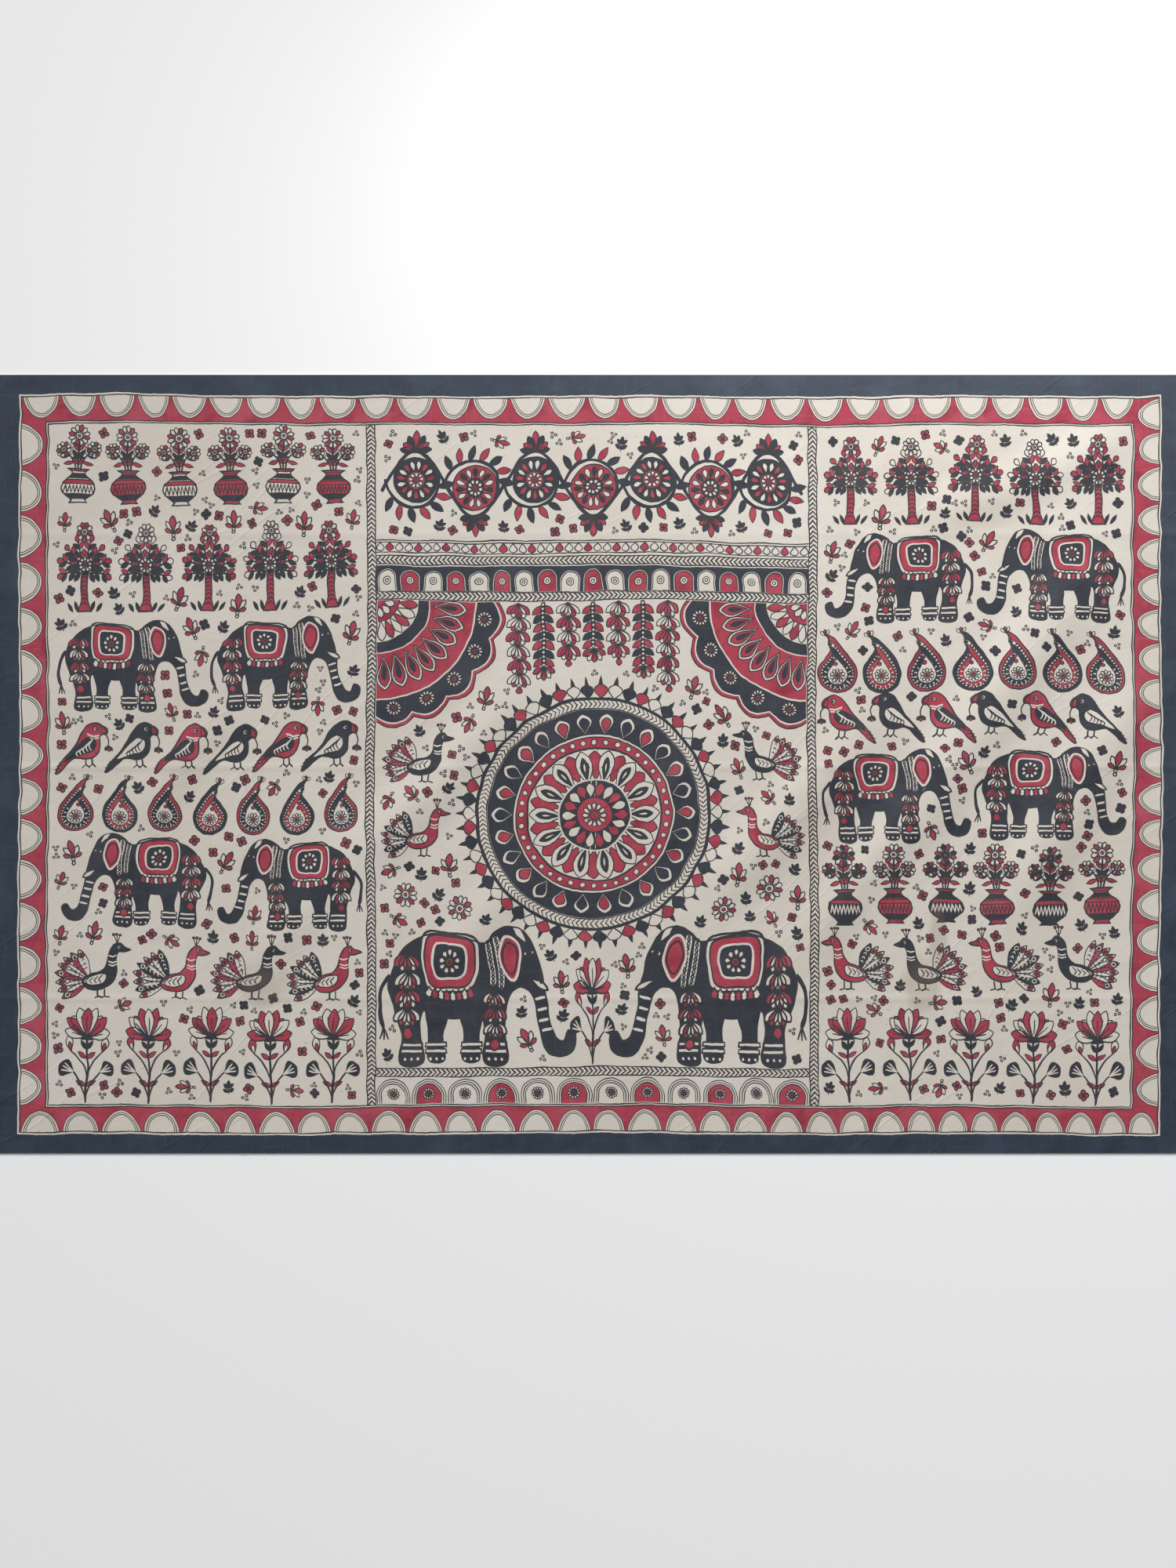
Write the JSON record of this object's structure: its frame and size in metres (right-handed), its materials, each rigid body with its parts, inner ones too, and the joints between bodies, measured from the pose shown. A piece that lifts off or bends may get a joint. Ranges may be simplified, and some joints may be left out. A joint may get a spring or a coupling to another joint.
{
  "type": "painted temple cloth",
  "caption": "Wide cotton hanging laid out flat, painted in black and madder red on a cream ground inside a scalloped border and a plain dark band, with soft waves and pressed storage creases.",
  "frame": {"origin": "on the resting surface, under the middle of the laid-out sheet", "axes": "+X to the right of the picture, +Y to the top of the picture, +Z out of the painted face"},
  "size_m": [1.508, 0.993, 0.0065],
  "materials": {
    "painted_cotton": "matte starched cotton with hand-painted dye"
  },
  "bodies": {
    "root": {"cloth": "painted_cotton"}
  },
  "joints": []
}
